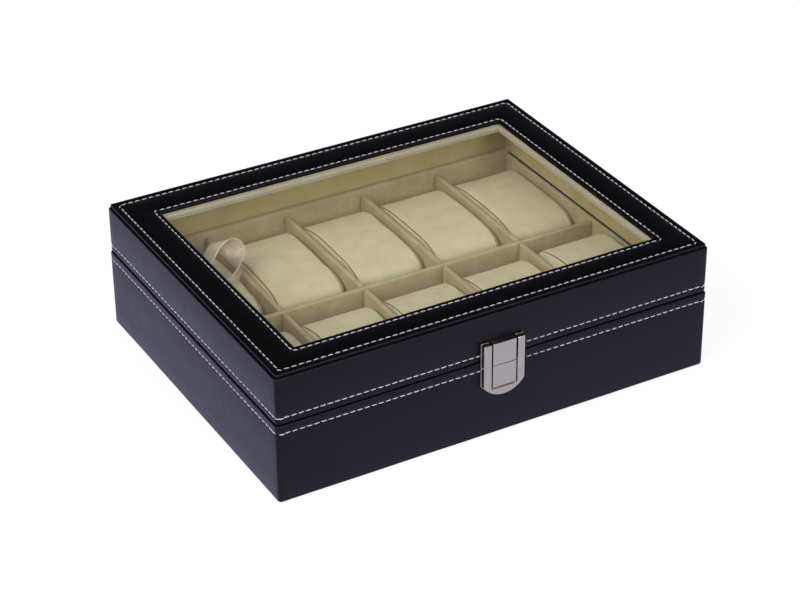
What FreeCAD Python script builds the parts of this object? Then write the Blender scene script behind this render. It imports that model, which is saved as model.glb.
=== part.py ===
import FreeCAD, Part
import math
import os

# Watch box for ten watches, in millimetres.
# X runs along the long side, +Y to the hinges, +Z up; the origin is under the middle of the footprint.

# Overall box and its split into a base and a lid
box_width = 255.0
box_depth = 200.0
box_height = 75.0
seam_height = 46.0
rim_gap = 0.4
lid_inset = 0.4
corner_radius = 2.0

# Sheet thicknesses
leather = 1.0
wall_board = 4.0
bottom_board = 4.0
floor_lining = 1.5
tray_side_wall = 2.2
tray_long_wall = 4.4
lid_lining = 1.0
felt = 1.0
felt_inset = 4.0
bottom_hem = 12.0
edge_round = 0.8

# Lid top with its window
cover_thickness = 2.0
cover_inset = 1.0
turnover = 10.0
frame_board = 1.5
window_side_border = 21.3
window_front_border = 20.3
window_rear_border = 23.3
glass_thickness = 2.0
glass_lap = 2.0
glass_clearance = 0.3
retainer_flange = 3.0
retainer_collar = 4.6
collar_clearance = 0.2

# Compartments
columns = 5
divider_thickness = 3.0
divider_drop = 3.0
slot_clearance = 0.2

# Watch pillows
pillow_length = 74.0
pillow_height = 35.0
pillow_end_sag = 15.0
pillow_crown = 1.2
pillow_seam_crown = 0.9
pillow_cap_crown = 0.5
pillow_draw_in = 2.2
pillow_shoulder_draw_in = 0.7
pillow_cap = 5.0
pillow_shoulder = 1.25
pillow_side_clearance = 0.6
pillow_seat_clearance = 0.3
pillow_setback = 2.8

# Butt hinges
hinge_inset = 52.5
hinge_length = 32.0
leaf_thickness = 1.0
leaf_margin = 0.6
barrel_radius = 1.8
barrel_standoff = 0.2
pin_radius = 0.9
running_clearance = 0.05
knuckle_gap = 0.3
knuckle_relief = 0.4
mortise_clearance = 0.2
hinge_screw_spacing = 18.0
screw_shank_radius = 0.8
screw_head_radius = 1.6
screw_length = 7.0
hole_clearance = 0.05

# Clasp on the front
clasp_width = 24.2
clasp_rise = 11.4
clasp_drop = 19.9
clasp_shoulder_drop = 13.3
clasp_depth = 3.8
clasp_plate = 0.8
clasp_lip = 0.3
clasp_edge_round = 0.6
tongue_edge_round = 0.3
tongue_width = 13.7
tongue_gap = 0.9
tongue_drop = 1.4
tongue_nose = 1.2
button_drop = 14.5
button_split = 0.3
button_travel = 0.8
flange_side = 0.7
flange_thickness = 0.7
flange_clearance = 0.1
catch_height = 1.5
catch_width = 6.0
catch_clearance = 0.25
spring_thickness = 0.25
spring_width = 4.0
spring_length = 9.0
rivet_radius = 1.0
rivet_head_radius = 2.0
rivet_head = 0.8
rivet_depth = 1.6
rivet_offset = 6.5

# Lid stay ribbon
ribbon_width = 11.0
ribbon_thickness = 0.6
ribbon_setback = 4.4
ribbon_tip_clearance = 0.5
ribbon_headroom = 6.0
ribbon_rest = 1.4
ribbon_rise = 7.0
ribbon_run = 20.0
ribbon_lid_clearance = 0.3

# Places worked out from the sizes above
half_x = box_width / 2
half_y = box_depth / 2
base_board_x = half_x - leather
base_board_y = half_y - leather
base_inner_x = base_board_x - wall_board
base_inner_y = base_board_y - wall_board
room_x = base_inner_x - tray_side_wall
room_y = base_inner_y - tray_long_wall
board_corner = corner_radius - leather

hem_bottom = felt
bottom_z = hem_bottom + leather
floor_board_top = bottom_z + bottom_board
floor_z = floor_board_top + floor_lining
base_board_top = seam_height - leather
divider_top = seam_height - divider_drop

lid_bottom = seam_height + rim_gap
lid_x = half_x - lid_inset
lid_y = half_y - lid_inset
lid_board_x = lid_x - leather
lid_board_y = lid_y - leather
lid_inner_x = lid_board_x - wall_board
lid_inner_y = lid_board_y - wall_board
lid_board_bottom = lid_bottom + leather
cover_bottom = box_height - cover_thickness
frame_top = cover_bottom - leather
lid_board_top = frame_top - frame_board
glass_bottom = cover_bottom - glass_thickness
retainer_bottom = lid_board_top - retainer_flange
window_x = half_x - window_side_border
window_front_y = window_front_border - half_y
window_rear_y = half_y - window_rear_border
seat_margin = glass_lap + glass_clearance
collar_margin = seat_margin + retainer_collar

cell_width = (2 * room_x - (columns - 1) * divider_thickness) / columns
cell_pitch = cell_width + divider_thickness
cell_depth = room_y - divider_thickness / 2
row_centre = divider_thickness / 2 + cell_depth / 2

hinge_axis_y = half_y + barrel_standoff + barrel_radius
hinge_axis_z = seam_height + rim_gap / 2
bore_radius = pin_radius + running_clearance
hinge_x = half_x - hinge_inset
leaf_back_y = base_inner_y + leaf_margin
hinge_screw_y = (base_inner_y + base_board_y) / 2

clasp_top = seam_height + clasp_rise
clasp_bottom = seam_height - clasp_drop
clasp_shoulder = seam_height - clasp_shoulder_drop
tongue_bottom = seam_height - tongue_drop
button_bottom = seam_height - button_drop
clasp_front_y = -half_y - clasp_depth
plate_front_y = -half_y - clasp_plate
slot_half = tongue_width / 2 + tongue_gap
rail_half = (slot_half + clasp_width / 2) / 2
button_top = tongue_bottom - button_split
flange_rear_y = plate_front_y - button_travel - flange_clearance
flange_front_y = flange_rear_y - flange_thickness
rail_lip_y = flange_front_y - flange_clearance
nose_rear_y = clasp_front_y + tongue_nose
catch_front_y = nose_rear_y + catch_clearance

pillow_top = floor_z + pillow_seat_clearance + pillow_height
ribbon_low_z = pillow_top + ribbon_rest
ribbon_high_z = retainer_bottom - ribbon_headroom
ribbon_centre_y = row_centre - ribbon_setback

x_axis = FreeCAD.Vector(1, 0, 0)
y_axis = FreeCAD.Vector(0, 1, 0)


def vec(x, y, z):
    return FreeCAD.Vector(x, y, z)


def block(x0, x1, y0, y1, z0, z1):
    return Part.makeBox(x1 - x0, y1 - y0, z1 - z0, vec(x0, y0, z0))


def upright_edges(shape):
    found = []
    for edge in shape.Edges:
        first = edge.Vertexes[0].Point
        last = edge.Vertexes[-1].Point
        if abs(first.x - last.x) < 1e-6 and abs(first.y - last.y) < 1e-6:
            found.append(edge)
    return found


def rounded_block(reach_x, reach_y, z0, z1, radius):
    solid = block(-reach_x, reach_x, -reach_y, reach_y, z0, z1)
    return solid.makeFillet(radius, upright_edges(solid))


def level_edges(shape, z):
    return [edge for edge in shape.Edges if all(abs(v.Z - z) < 1e-6 for v in edge.Vertexes)]


def rod(x, y, z, axis, radius, length):
    return Part.makeCylinder(radius, length, vec(x, y, z), axis)


def fused(shapes):
    return shapes[0].multiFuse(shapes[1:]).removeSplitter()


def save(shape, name):
    shape.exportStep("parts/" + name + ".step")


# Base: felt, leather wrap, boards and linings

def base_felt():
    reach_x = half_x - felt_inset
    reach_y = half_y - felt_inset
    return rounded_block(reach_x, reach_y, 0, felt, corner_radius)


def base_wrap():
    outer = rounded_block(half_x, half_y, hem_bottom, seam_height, corner_radius)
    outer = outer.makeFillet(edge_round, level_edges(outer, seam_height))
    inside = rounded_block(base_board_x, base_board_y, bottom_z, base_board_top, board_corner)
    mouth = block(-base_inner_x, base_inner_x, -base_inner_y, base_inner_y, bottom_z, seam_height)
    hem_x = half_x - bottom_hem
    hem_y = half_y - bottom_hem
    below = block(-hem_x, hem_x, -hem_y, hem_y, hem_bottom, bottom_z)
    wrap = outer.cut([inside, mouth, below])
    return wrap.cut(base_mortises() + rivet_holes(base_rivets()))


def base_bottom_board():
    return rounded_block(base_board_x, base_board_y, bottom_z, floor_board_top, board_corner)


def long_wall(reach_x, outer_y, inner_y, z0, z1, radius, side):
    plate = rounded_block(reach_x, outer_y, z0, z1, radius)
    keep = block(-reach_x, reach_x, inner_y, outer_y, z0, z1)
    if side < 0:
        keep = block(-reach_x, reach_x, -outer_y, -inner_y, z0, z1)
    return plate.common(keep)


def short_wall(outer_x, inner_x, reach_y, z0, z1, side):
    if side < 0:
        return block(-outer_x, -inner_x, -reach_y, reach_y, z0, z1)
    return block(inner_x, outer_x, -reach_y, reach_y, z0, z1)


def base_long_board(side):
    wall = long_wall(base_board_x, base_board_y, base_inner_y,
                     floor_board_top, base_board_top, board_corner, side)
    return wall.cut(rivet_holes(base_rivets()) + screw_holes(base_hinge_screws()))


def base_short_board(side):
    return short_wall(base_board_x, base_inner_x, base_inner_y, floor_board_top, base_board_top, side)


def base_floor_lining():
    return block(-base_inner_x, base_inner_x, -base_inner_y, base_inner_y, floor_board_top, floor_z)


def base_long_lining(side):
    y0, y1 = sorted((side * room_y, side * base_inner_y))
    return block(-base_inner_x, base_inner_x, y0, y1, floor_z, seam_height)


def base_short_lining(side):
    return short_wall(base_inner_x, room_x, room_y, floor_z, seam_height, side)


# Dividers, halved together where they cross

def divider_places():
    first = -(columns - 2) / 2 * cell_pitch
    return [first + i * cell_pitch for i in range(columns - 1)]


def long_divider():
    half = divider_thickness / 2
    middle = (floor_z + divider_top) / 2
    solid = block(-room_x, room_x, -half, half, floor_z, divider_top)
    reach = half + slot_clearance
    slots = [block(x - reach, x + reach, -half, half, floor_z, middle) for x in divider_places()]
    return solid.cut(slots)


def cross_divider(x):
    half = divider_thickness / 2
    middle = (floor_z + divider_top) / 2
    solid = block(x - half, x + half, -room_y, room_y, floor_z, divider_top)
    reach = half + slot_clearance
    return solid.cut(block(x - half, x + half, -reach, reach, middle, divider_top))


# Watch pillows, an oval roll with a crowned top and drawn-in end caps

def pillow_section(x, centre_y, draw_in, crown):
    reach = pillow_length / 2 - draw_in
    low = floor_z + pillow_seat_clearance + draw_in / 2
    high = pillow_top - pillow_crown - draw_in
    flat = pillow_length / 2 - pillow_end_sag
    middle = (low + high) / 2
    bottom = Part.makeLine(vec(x, centre_y - flat, low), vec(x, centre_y + flat, low))
    rear = Part.Arc(vec(x, centre_y + flat, low), vec(x, centre_y + reach, middle),
                    vec(x, centre_y + flat, high)).toShape()
    top = Part.Arc(vec(x, centre_y + flat, high), vec(x, centre_y, high + crown),
                   vec(x, centre_y - flat, high)).toShape()
    front = Part.Arc(vec(x, centre_y - flat, high), vec(x, centre_y - reach, middle),
                     vec(x, centre_y - flat, low)).toShape()
    return Part.Wire([bottom, rear, top, front])


def pillow(centre_x, centre_y):
    reach = cell_width / 2 - pillow_side_clearance
    half = [(reach, pillow_draw_in, pillow_cap_crown),
            (reach - pillow_shoulder, pillow_shoulder_draw_in, pillow_cap_crown),
            (reach - pillow_cap, 0.0, pillow_seam_crown)]
    stations = [(-offset, draw_in, crown) for offset, draw_in, crown in half]
    stations = stations + [(0.0, 0.0, pillow_crown)] + half[::-1]
    wires = []
    for offset, draw_in, crown in stations:
        wires.append(pillow_section(centre_x + offset, centre_y, draw_in, crown))
    return Part.makeLoft(wires, True, False)


# Lid: boards, leather, window and linings

def lid_wrap():
    outer = rounded_block(lid_x, lid_y, lid_bottom, cover_bottom, corner_radius)
    outer = outer.makeFillet(edge_round, level_edges(outer, lid_bottom) + level_edges(outer, cover_bottom))
    inside = rounded_block(lid_board_x, lid_board_y, lid_board_bottom, frame_top, board_corner)
    mouth = block(-lid_inner_x, lid_inner_x, -lid_inner_y, lid_inner_y, lid_bottom, lid_board_bottom)
    top_x = lid_x - turnover
    top_y = lid_y - turnover
    top = block(-top_x, top_x, -top_y, top_y, frame_top, cover_bottom)
    wrap = outer.cut([inside, mouth, top])
    return wrap.cut(lid_mortises() + rivet_holes(tongue_rivets()))


def lid_long_board(side):
    wall = long_wall(lid_board_x, lid_board_y, lid_inner_y,
                     lid_board_bottom, lid_board_top, board_corner, side)
    return wall.cut(rivet_holes(tongue_rivets()) + screw_holes(lid_hinge_screws()))


def lid_short_board(side):
    return short_wall(lid_board_x, lid_inner_x, lid_inner_y, lid_board_bottom, lid_board_top, side)


def lid_frame_board():
    plate = rounded_block(lid_board_x, lid_board_y, lid_board_top, frame_top, board_corner)
    return plate.cut(collar_hole(lid_board_top, frame_top))


def window_block(margin, z0, z1):
    reach_x = window_x + margin
    return block(-reach_x, reach_x, window_front_y - margin, window_rear_y + margin, z0, z1)


def collar_hole(z0, z1):
    return window_block(collar_margin + collar_clearance, z0, z1)


def lid_top_cover():
    panel = rounded_block(lid_x - cover_inset, lid_y - cover_inset, cover_bottom, box_height, corner_radius)
    panel = panel.makeFillet(edge_round, level_edges(panel, box_height))
    core_x = lid_x - turnover
    core_y = lid_y - turnover
    core = block(-core_x, core_x, -core_y, core_y, frame_top, cover_bottom)
    hole = window_block(0, cover_bottom, box_height)
    return fused([panel, core]).cut([hole, collar_hole(frame_top, cover_bottom)])


def window_pane():
    return window_block(glass_lap, glass_bottom, cover_bottom)


def window_retainer():
    flange = block(-lid_inner_x, lid_inner_x, -lid_inner_y, lid_inner_y, retainer_bottom, lid_board_top)
    collar = window_block(collar_margin, lid_board_top, cover_bottom)
    hole = window_block(0, retainer_bottom, cover_bottom)
    seat = window_block(seat_margin, glass_bottom, cover_bottom)
    return fused([flange, collar]).cut([hole, seat])


def lid_long_lining(side):
    y0, y1 = sorted((side * (lid_inner_y - lid_lining), side * lid_inner_y))
    return block(-lid_inner_x, lid_inner_x, y0, y1, lid_bottom, retainer_bottom)


def lid_short_lining(side):
    return short_wall(lid_inner_x, lid_inner_x - lid_lining, lid_inner_y - lid_lining,
                      lid_bottom, retainer_bottom, side)


# Butt hinges let into the rear rims

def hinge_places():
    return [-hinge_x, hinge_x]


def knuckle_spans(x):
    third = hinge_length / 3
    start = x - hinge_length / 2
    return [(start, start + third - knuckle_gap / 2),
            (start + third + knuckle_gap / 2, start + 2 * third - knuckle_gap / 2),
            (start + 2 * third + knuckle_gap / 2, start + hinge_length)]


def hinge_leaf(x, leaf_z, own, other, screws):
    x0 = x - hinge_length / 2
    x1 = x + hinge_length / 2
    leaf = block(x0, x1, leaf_back_y, hinge_axis_y, leaf_z, leaf_z + leaf_thickness)
    spans = knuckle_spans(x)
    relief_y = hinge_axis_y - barrel_radius - knuckle_relief
    away = []
    for i in other:
        left = spans[i][0] - knuckle_gap
        right = spans[i][1] + knuckle_gap
        away.append(block(left, right, relief_y, hinge_axis_y, leaf_z, leaf_z + leaf_thickness))
    leaf = leaf.cut(away)
    barrels = []
    for i in own:
        length = spans[i][1] - spans[i][0]
        barrels.append(rod(spans[i][0], hinge_axis_y, hinge_axis_z, x_axis, barrel_radius, length))
    bore = rod(x0, hinge_axis_y, hinge_axis_z, x_axis, bore_radius, hinge_length)
    return fused([leaf] + barrels).cut([bore] + screw_holes(screws))


def base_leaf(x):
    return hinge_leaf(x, seam_height - leaf_thickness, [0, 2], [1], base_hinge_screws())


def lid_leaf(x):
    return hinge_leaf(x, lid_bottom, [1], [0, 2], lid_hinge_screws())


def hinge_pin(x):
    return rod(x - hinge_length / 2, hinge_axis_y, hinge_axis_z, x_axis, pin_radius, hinge_length)


def mortises(z0, z1):
    reach = hinge_length / 2 + mortise_clearance
    back = leaf_back_y - mortise_clearance
    return [block(x - reach, x + reach, back, half_y, z0, z1) for x in hinge_places()]


def base_mortises():
    return mortises(seam_height - leaf_thickness, seam_height)


def lid_mortises():
    return mortises(lid_bottom, lid_bottom + leaf_thickness)


def screw_places():
    half = hinge_screw_spacing / 2
    return [x + offset for x in hinge_places() for offset in (-half, half)]


def screw(x, head_z, way, grow):
    axis = vec(0, 0, -way)
    head_depth = screw_head_radius - screw_shank_radius
    head = Part.makeCone(screw_head_radius + grow, screw_shank_radius + grow, head_depth,
                         vec(x, hinge_screw_y, head_z), axis)
    shank = rod(x, hinge_screw_y, head_z, axis, screw_shank_radius + grow, screw_length + grow)
    return head.fuse(shank).removeSplitter()


def base_hinge_screws():
    return [(x, seam_height, 1) for x in screw_places()]


def lid_hinge_screws():
    return [(x, lid_bottom, -1) for x in screw_places()]


def screw_holes(screws):
    return [screw(x, z, way, hole_clearance) for x, z, way in screws]


def screw_group(screws):
    return Part.makeCompound([screw(x, z, way, 0) for x, z, way in screws])


# Clasp: a U-shaped housing and its push button on the base, a tongue on the lid

def clasp_outline(grow, top, y0, y1):
    reach = clasp_width / 2 + grow
    left = vec(-reach, y0, clasp_shoulder)
    low = vec(0, y0, clasp_bottom - grow)
    right = vec(reach, y0, clasp_shoulder)
    arc = Part.Arc(left, low, right).toShape()
    up = Part.makeLine(right, vec(reach, y0, top))
    across = Part.makeLine(vec(reach, y0, top), vec(-reach, y0, top))
    down = Part.makeLine(vec(-reach, y0, top), left)
    face = Part.Face(Part.Wire([arc, up, across, down]))
    return face.extrude(vec(0, y1 - y0, 0))


def front_edges(shape, y):
    return [edge for edge in shape.Edges if all(abs(v.Y - y) < 1e-6 for v in edge.Vertexes)]


def clasp_housing():
    body = clasp_outline(0, clasp_top, clasp_front_y, -half_y)
    body = body.makeFillet(clasp_edge_round, front_edges(body, clasp_front_y))
    lip = clasp_outline(clasp_lip, clasp_top + clasp_lip, plate_front_y, -half_y)
    top = clasp_top + clasp_lip
    slot_bottom = button_bottom - tongue_gap
    slot = block(-slot_half, slot_half, clasp_front_y, plate_front_y, slot_bottom, top)
    wide = slot_half + flange_side
    pocket_top = button_top + flange_clearance
    pocket = block(-wide, wide, rail_lip_y, plate_front_y, slot_bottom - flange_side, pocket_top)
    passage = block(-slot_half, slot_half, plate_front_y, -half_y, button_top, top)
    return fused([body, lip]).cut([slot, pocket, passage] + rivet_holes(base_rivets()))


def clasp_button():
    reach = tongue_width / 2
    plug = block(-reach, reach, clasp_front_y, flange_rear_y, button_bottom, button_top)
    plug = plug.makeFillet(tongue_edge_round, front_edges(plug, clasp_front_y))
    side = slot_half + flange_side - flange_clearance
    low = button_bottom - tongue_gap - flange_side + flange_clearance
    flange = block(-side, side, flange_front_y, flange_rear_y, low, button_top)
    catch = block(-catch_width / 2, catch_width / 2, catch_front_y, flange_rear_y,
                  button_top, button_top + catch_height)
    return fused([plug, flange, catch])


def clasp_spring():
    middle = (button_bottom + button_top) / 2
    near = plate_front_y - spring_thickness
    far = flange_rear_y
    low = middle - spring_length / 2
    high = middle + spring_length / 2
    inner = Part.Arc(vec(0, plate_front_y, low), vec(0, far + spring_thickness, middle),
                     vec(0, plate_front_y, high)).toShape()
    outer = Part.Arc(vec(0, near, low), vec(0, far, middle), vec(0, near, high)).toShape()
    ends = [Part.makeLine(vec(0, plate_front_y, z), vec(0, near, z)) for z in (low, high)]
    face = Part.Face(Part.Wire(Part.sortEdges([inner, outer] + ends)[0]))
    face.translate(vec(-spring_width / 2, 0, 0))
    return face.extrude(vec(spring_width, 0, 0))


def clasp_tongue():
    reach = tongue_width / 2
    foot = block(-reach, reach, clasp_front_y, -lid_y, lid_board_bottom, clasp_top)
    nose = block(-reach, reach, clasp_front_y, nose_rear_y, tongue_bottom, lid_board_bottom)
    tongue = fused([foot, nose])
    tongue = tongue.makeFillet(tongue_edge_round, front_edges(tongue, clasp_front_y))
    return tongue.cut(rivet_holes(tongue_rivets()))


def rivet(x, z, wall_y, board_y, grow):
    start = wall_y - rivet_depth - grow
    length = board_y - start
    shank = rod(x, start, z, y_axis, rivet_radius + grow, length)
    head = rod(x, board_y - rivet_head - grow, z, y_axis, rivet_head_radius + grow, rivet_head + grow)
    return shank.fuse(head).removeSplitter()


def base_rivets():
    low_z = (clasp_bottom + button_bottom - tongue_gap) / 2
    rail_z = (clasp_shoulder + base_board_top) / 2
    return [(0, low_z, -half_y, -base_inner_y), (-rail_half, rail_z, -half_y, -base_inner_y),
            (rail_half, rail_z, -half_y, -base_inner_y)]


def tongue_rivets():
    z = (lid_board_bottom + clasp_top) / 2
    half = rivet_offset / 2
    return [(-half, z, -lid_y, -lid_inner_y), (half, z, -lid_y, -lid_inner_y)]


def rivet_holes(rivets):
    return [rivet(x, z, wall_y, board_y, hole_clearance) for x, z, wall_y, board_y in rivets]


def rivet_group(rivets):
    return Part.makeCompound([rivet(x, z, wall_y, board_y, 0) for x, z, wall_y, board_y in rivets])


# Ribbon that stops the lid, folded inwards over the first rear pillow while the lid is shut

def stay_ribbon():
    y = ribbon_centre_y - ribbon_width / 2
    radius = (ribbon_high_z - ribbon_low_z) / 2
    turn_x = -room_x + cell_width - ribbon_tip_clearance - radius
    lid_end = vec(-lid_inner_x + lid_lining + ribbon_lid_clearance, y, ribbon_high_z - ribbon_rise)
    shoulder = vec(turn_x - ribbon_run, y, ribbon_high_z)
    over = vec(turn_x, y, ribbon_high_z)
    tip = vec(turn_x + radius, y, ribbon_high_z - radius)
    under = vec(turn_x, y, ribbon_low_z)
    base_end = vec(-room_x, y, ribbon_low_z)
    diagonal = radius * math.cos(math.pi / 4)
    upper_mid = vec(turn_x + diagonal, y, tip.z + diagonal)
    lower_mid = vec(turn_x + diagonal, y, tip.z - diagonal)
    path = Part.Wire([Part.makeLine(lid_end, shoulder), Part.makeLine(shoulder, over),
                      Part.Arc(over, upper_mid, tip).toShape(), Part.Arc(tip, lower_mid, under).toShape(),
                      Part.makeLine(under, base_end)])
    band = path.extrude(vec(0, ribbon_width, 0))
    return band.makeOffsetShape(ribbon_thickness, 1e-4, fill=True)


os.makedirs("parts", exist_ok=True)

save(base_felt(), "base_felt")
save(base_wrap(), "base_wrap")
save(base_bottom_board(), "base_bottom_board")
save(base_floor_lining(), "base_floor_lining")
save(lid_wrap(), "lid_wrap")
save(lid_frame_board(), "lid_frame_board")
save(lid_top_cover(), "lid_top_cover")
save(window_pane(), "window_pane")
save(window_retainer(), "window_retainer")

for word, side in (("front", -1), ("rear", 1)):
    save(base_long_board(side), "base_" + word + "_board")
    save(base_long_lining(side), "base_" + word + "_lining")
    save(lid_long_board(side), "lid_" + word + "_board")
    save(lid_long_lining(side), "lid_" + word + "_lining")

for word, side in (("left", -1), ("right", 1)):
    save(base_short_board(side), "base_" + word + "_board")
    save(base_short_lining(side), "base_" + word + "_lining")
    save(lid_short_board(side), "lid_" + word + "_board")
    save(lid_short_lining(side), "lid_" + word + "_lining")
    place = side * hinge_x
    save(base_leaf(place), "hinge_" + word + "_base_leaf")
    save(lid_leaf(place), "hinge_" + word + "_lid_leaf")
    save(hinge_pin(place), "hinge_" + word + "_pin")

save(long_divider(), "long_divider")
for number, x in enumerate(divider_places(), 1):
    save(cross_divider(x), "cross_divider_" + str(number))

for column in range(columns):
    centre = (column - (columns - 1) / 2) * cell_pitch
    save(pillow(centre, row_centre + pillow_setback), "pillow_rear_" + str(column + 1))
    save(pillow(centre, pillow_setback - row_centre), "pillow_front_" + str(column + 1))

save(screw_group(base_hinge_screws()), "hinge_base_screws")
save(screw_group(lid_hinge_screws()), "hinge_lid_screws")
save(clasp_housing(), "clasp_housing")
save(clasp_button(), "clasp_button")
save(clasp_spring(), "clasp_spring")
save(clasp_tongue(), "clasp_tongue")
save(rivet_group(base_rivets()), "clasp_rivets")
save(rivet_group(tongue_rivets()), "tongue_rivets")
save(stay_ribbon(), "stay_ribbon")
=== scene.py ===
import math
import bmesh
import bpy
import numpy as np
from mathutils import Matrix, Vector, noise


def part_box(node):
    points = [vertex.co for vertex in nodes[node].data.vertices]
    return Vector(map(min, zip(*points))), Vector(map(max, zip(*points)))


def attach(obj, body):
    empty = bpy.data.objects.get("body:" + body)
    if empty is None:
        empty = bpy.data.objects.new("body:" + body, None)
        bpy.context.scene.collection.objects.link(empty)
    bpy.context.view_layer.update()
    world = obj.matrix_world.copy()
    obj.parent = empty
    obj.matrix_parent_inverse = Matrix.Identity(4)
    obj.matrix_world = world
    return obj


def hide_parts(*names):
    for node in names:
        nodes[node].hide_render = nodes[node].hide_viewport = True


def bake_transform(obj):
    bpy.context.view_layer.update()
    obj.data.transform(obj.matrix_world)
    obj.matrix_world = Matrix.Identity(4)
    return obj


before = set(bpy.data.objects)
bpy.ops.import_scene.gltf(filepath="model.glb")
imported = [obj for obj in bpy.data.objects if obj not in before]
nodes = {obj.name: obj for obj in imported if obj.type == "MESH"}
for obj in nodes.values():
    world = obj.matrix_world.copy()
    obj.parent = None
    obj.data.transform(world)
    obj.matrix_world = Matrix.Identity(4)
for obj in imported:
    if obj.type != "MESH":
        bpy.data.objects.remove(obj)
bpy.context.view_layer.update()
scene = bpy.context.scene
scene.view_settings.view_transform = "Standard"
mm = 0.001
weld = 1e-6  # metres; points nearer than this are joined
print("frame loaded,", len(nodes), "nodes")


def tint(code):  # sRGB hex to the linear colour that sockets take
    parts = [int(code[i:i + 2], 16) / 255 for i in (1, 3, 5)]
    return tuple(c / 12.92 if c <= 0.04045 else ((c + 0.055) / 1.055) ** 2.4 for c in parts) + (1.0,)


def perMm(size):  # texture scale whose features are about this many millimetres across
    return 1000.0 / size


def feed(tree, node, inputs):  # links the sockets that are given and sets the plain values
    for name, value in inputs.items():
        if isinstance(value, bpy.types.NodeSocket):
            tree.links.new(value, node.inputs[name])
        else:
            node.inputs[name].default_value = value


def put(tree, kind, settings=None, inputs=None):
    node = tree.nodes.new(kind)
    for name, value in (settings or {}).items():
        setattr(node, name, value)
    feed(tree, node, inputs or {})
    return node


def sums(tree, operation, first, second):
    return put(tree, "ShaderNodeMath", {"operation": operation}, {0: first, 1: second}).outputs[0]


def mixNumbers(tree, share, first, second):
    return put(tree, "ShaderNodeMix", {"data_type": "FLOAT"}, {0: share, 2: first, 3: second}).outputs[0]


def mixColours(tree, share, first, second):
    return put(tree, "ShaderNodeMix", {"data_type": "RGBA"}, {0: share, 6: first, 7: second}).outputs[2]


def spread(tree, value, given, wanted, curve="LINEAR"):  # takes one range of numbers to another
    ends = {"From Min": given[0], "From Max": given[1], "To Min": wanted[0], "To Max": wanted[1]}
    return put(tree, "ShaderNodeMapRange", {"interpolation_type": curve}, {"Value": value, **ends}).outputs[0]


def cloud(tree, place, sizeMm, detail, tangle=0.0):
    look = {"Vector": place, "Scale": perMm(sizeMm), "Detail": detail, "Distortion": tangle}
    return put(tree, "ShaderNodeTexNoise", inputs=look).outputs["Fac"]


def bumps(tree, height, depthMm, strength):
    look = {"Height": height, "Strength": strength, "Distance": depthMm * mm}
    return put(tree, "ShaderNodeBump", inputs=look).outputs[0]


def startMaterial(name):
    material = bpy.data.materials.new(name)
    material.use_nodes = True
    tree = material.node_tree
    shader = tree.nodes["Principled BSDF"]
    place = put(tree, "ShaderNodeTexCoord").outputs["Object"]
    return material, tree, shader, place


# Camera, fitted to the corners of the box in the picture
cameraView = {"azimuth": -29.21, "elevation": 31.14, "roll": -0.533, "aim": (0, 0, 37.5),
              "offset": (1.96, -8.553), "distance": 1313.3, "lens": 109.74, "sensor": 36, "farClip": 20}


def placeCamera(view):
    turn, tilt, roll = (math.radians(view[name]) for name in ("azimuth", "elevation", "roll"))
    back = Vector((math.sin(turn) * math.cos(tilt), -math.cos(turn) * math.cos(tilt), math.sin(tilt)))
    level = (-back).cross(Vector((0, 0, 1))).normalized()
    rise = level.cross(-back)
    right = math.cos(roll) * level + math.sin(roll) * rise
    up = math.cos(roll) * rise - math.sin(roll) * level
    spot = Vector(view["aim"]) - right * view["offset"][0] + up * view["offset"][1] + back * view["distance"]
    lens = bpy.data.cameras.new("camera")
    lens.lens = view["lens"]
    lens.sensor_width = view["sensor"]
    lens.clip_end = view["farClip"]
    camera = bpy.data.objects.new("camera", lens)
    scene.collection.objects.link(camera)
    camera.matrix_world = Matrix.Translation(spot * mm) @ Matrix((right, up, back)).transposed().to_4x4()
    scene.camera = camera


placeCamera(cameraView)

# Studio: white floor, two soft lamps, and a sky white to the camera but dark above and behind in reflections
studio = {"floorReach": 6.0, "floorDrop": 0.0003, "floorWhite": "#d6d6d6", "floorGlow": 1.05,
          "paperGlow": 1.19, "shadowShare": 0.25, "coolWhite": "#dfdeff", "skyFill": 0.42,
          "skyEdge": (0.03, 0.26), "ceilingGlow": 0.015, "wallEdge": (-0.25, -0.6), "wallGlow": 0.9,
          "lampAim": (0, 0, 0.04),
          "lamps": [("keyLamp", (-1.9, -0.9, 1.9), 1.8, 43.0), ("frontLamp", (0.15, -1.5, 0.85), 0.7, 7.0)]}
plainWhite = (1, 1, 1, 1)


def seenDirectly(tree):  # camera rays, and all rays that see the stage, in glass or a polished face too
    path = put(tree, "ShaderNodeLightPath").outputs
    first = sums(tree, "MAXIMUM", path["Is Camera Ray"], path["Is Glossy Ray"])
    return path["Is Camera Ray"], sums(tree, "MAXIMUM", first, path["Is Transmission Ray"])


def makeFloor(look):
    bm = bmesh.new()
    bmesh.ops.create_grid(bm, x_segments=1, y_segments=1, size=look["floorReach"])
    mesh = bpy.data.meshes.new("floor")
    bm.to_mesh(mesh)
    bm.free()
    mesh.transform(Matrix.Translation((0, 0, -look["floorDrop"])))
    floor = bpy.data.objects.new("floor", mesh)
    scene.collection.objects.link(floor)
    material = bpy.data.materials.new("whitePaperFloor")
    material.use_nodes = True
    tree = material.node_tree
    tree.nodes.remove(tree.nodes["Principled BSDF"])
    camera, seen = seenDirectly(tree)
    level = mixNumbers(tree, camera, look["floorGlow"], look["paperGlow"])
    share = mixNumbers(tree, camera, seen, 1 - look["shadowShare"])  # the camera still sees a faint shadow
    shade = mixColours(tree, camera, tint(look["coolWhite"]), plainWhite)
    paper = put(tree, "ShaderNodeBsdfDiffuse", inputs={"Color": tint(look["floorWhite"])})
    glow = put(tree, "ShaderNodeEmission", inputs={"Color": shade, "Strength": level})
    mixed = put(tree, "ShaderNodeMixShader", inputs={0: share, 1: paper.outputs[0], 2: glow.outputs[0]})
    tree.links.new(mixed.outputs[0], tree.nodes["Material Output"].inputs["Surface"])
    mesh.materials.append(material)


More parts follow.
